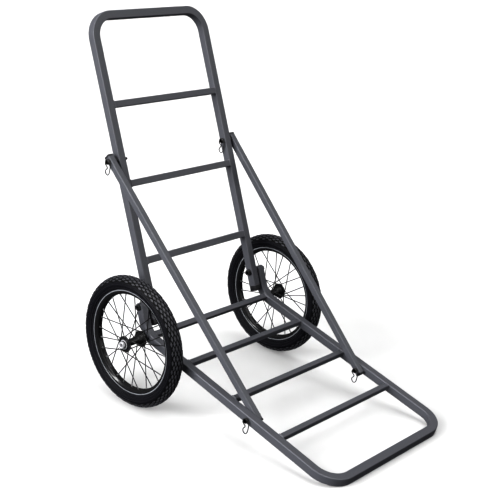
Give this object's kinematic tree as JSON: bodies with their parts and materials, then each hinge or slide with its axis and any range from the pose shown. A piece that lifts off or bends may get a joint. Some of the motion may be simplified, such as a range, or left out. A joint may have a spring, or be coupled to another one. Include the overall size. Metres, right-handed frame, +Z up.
{
  "type": "game cart",
  "caption": "Folding game cart: square-tube carrying frame with crossbars, upright handle frame on a pivot, lock-pinned braces and spoked bicycle-type wheels.",
  "frame": {"origin": "on the ground, at the centre of the open cart's footprint, midway between the wheels", "axes": "+Z up, +X to the right-hand wheel along the axles, -Y towards the toe bar and +Y towards the handle"},
  "size_m": [0.7268, 1.069, 1.1092],
  "materials": {
    "frame_paint": "satin powder coat",
    "black_steel": "satin black",
    "rim_paint": "gloss black",
    "spoke_steel": "black coated",
    "bright_steel": "zinc plated",
    "tyre_rubber": "matte moulded rubber",
    "tube_rubber": "matte",
    "black_plastic": "moulded"
  },
  "bodies": {
    "base": {"base_frame": "frame_paint", "base_crossbar_rear": "frame_paint", "base_crossbar_second": "frame_paint", "base_crossbar_third": "frame_paint", "base_crossbar_front": "frame_paint", "axle_plates": "frame_paint", "stub_axles": "black_steel", "axle_collars": "black_steel", "axle_washers": "black_steel", "axle_nuts": "bright_steel", "pivot_bolts": "black_steel", "pivot_washers": "black_steel", "pivot_nuts": "black_steel", "pivot_spacers": "black_plastic"},
    "upright": {"upright_frame": "frame_paint", "upright_crossbar_lower": "frame_paint", "upright_crossbar_middle": "frame_paint", "upright_crossbar_top": "frame_paint", "leg_plugs": "black_plastic", "brace_spacers": "black_plastic"},
    "left_brace": {"left_brace_tube": "frame_paint", "left_brace_caps": "black_plastic"},
    "right_brace": {"right_brace_tube": "frame_paint", "right_brace_caps": "black_plastic"},
    "left_wheel": {"left_wheel_tyre": "tyre_rubber", "left_wheel_inner_tube": "tube_rubber", "left_wheel_rim": "rim_paint", "left_wheel_spokes": "spoke_steel", "left_wheel_nipples": "bright_steel", "left_wheel_hub": "black_steel", "left_wheel_bearings": "bright_steel", "left_wheel_valve": "black_plastic"},
    "right_wheel": {"right_wheel_tyre": "tyre_rubber", "right_wheel_inner_tube": "tube_rubber", "right_wheel_rim": "rim_paint", "right_wheel_spokes": "spoke_steel", "right_wheel_nipples": "bright_steel", "right_wheel_hub": "black_steel", "right_wheel_bearings": "bright_steel", "right_wheel_valve": "black_plastic"},
    "top_left_pin": {"top_left_pin": "black_steel"},
    "top_left_clip": {"top_left_clip": "black_steel"},
    "top_right_pin": {"top_right_pin": "black_steel"},
    "top_right_clip": {"top_right_clip": "black_steel"},
    "foot_left_pin": {"foot_left_pin": "black_steel"},
    "foot_left_clip": {"foot_left_clip": "black_steel"},
    "foot_right_pin": {"foot_right_pin": "black_steel"},
    "foot_right_clip": {"foot_right_clip": "black_steel"}
  },
  "joints": [
    {"name": "fold", "type": "hinge", "parent": "base", "child": "upright", "pos_m": [0, 0.2245, 0.289], "axis": [1, 0, 0], "range_deg": [0, 127]},
    {"name": "left_brace_swing", "type": "hinge", "parent": "upright", "child": "left_brace", "pos_m": [0, 0.37399, 0.69751], "axis": [1, 0, 0], "range_deg": [-166, 0]},
    {"name": "right_brace_swing", "type": "hinge", "parent": "upright", "child": "right_brace", "pos_m": [0, 0.37399, 0.69751], "axis": [1, 0, 0], "range_deg": [-166, 0]},
    {"name": "left_wheel_spin", "type": "hinge", "parent": "base", "child": "left_wheel", "pos_m": [0, 0.2012, 0.1995], "axis": [1, 0, 0], "continuous": true},
    {"name": "right_wheel_spin", "type": "hinge", "parent": "base", "child": "right_wheel", "pos_m": [0, 0.2012, 0.1995], "axis": [1, 0, 0], "continuous": true},
    {"name": "top_left_pin_pull", "type": "slide", "parent": "upright", "child": "top_left_pin", "axis": [-1, 0, 0], "range_m": [0, 0.073]},
    {"name": "top_left_clip_swing", "type": "hinge", "parent": "top_left_pin", "child": "top_left_clip", "pos_m": [-0.2735, 0.37399, 0.69751], "axis": [0, 1, 0], "range_deg": [0, 165]},
    {"name": "top_right_pin_pull", "type": "slide", "parent": "upright", "child": "top_right_pin", "axis": [-1, 0, 0], "range_m": [0, 0.066]},
    {"name": "top_right_clip_swing", "type": "hinge", "parent": "top_right_pin", "child": "top_right_clip", "pos_m": [0.20815, 0.37399, 0.69751], "axis": [0, 1, 0], "range_deg": [0, 165]},
    {"name": "foot_left_pin_pull", "type": "slide", "parent": "base", "child": "foot_left_pin", "axis": [-1, 0, 0], "range_m": [0, 0.058]},
    {"name": "foot_left_clip_swing", "type": "hinge", "parent": "foot_left_pin", "child": "foot_left_clip", "pos_m": [-0.2773, -0.22187, 0.0953], "axis": [0, 1, 0], "range_deg": [0, 165]},
    {"name": "foot_right_pin_pull", "type": "slide", "parent": "base", "child": "foot_right_pin", "axis": [-1, 0, 0], "range_m": [0, 0.058]},
    {"name": "foot_right_clip_swing", "type": "hinge", "parent": "foot_right_pin", "child": "foot_right_clip", "pos_m": [0.2207, -0.22187, 0.0953], "axis": [0, 1, 0], "range_deg": [0, 165]}
  ],
  "couplings": [
    {"joint": "left_brace_swing", "follows": "fold", "ratio": -1.3},
    {"joint": "right_brace_swing", "follows": "fold", "ratio": -1.3}
  ]
}
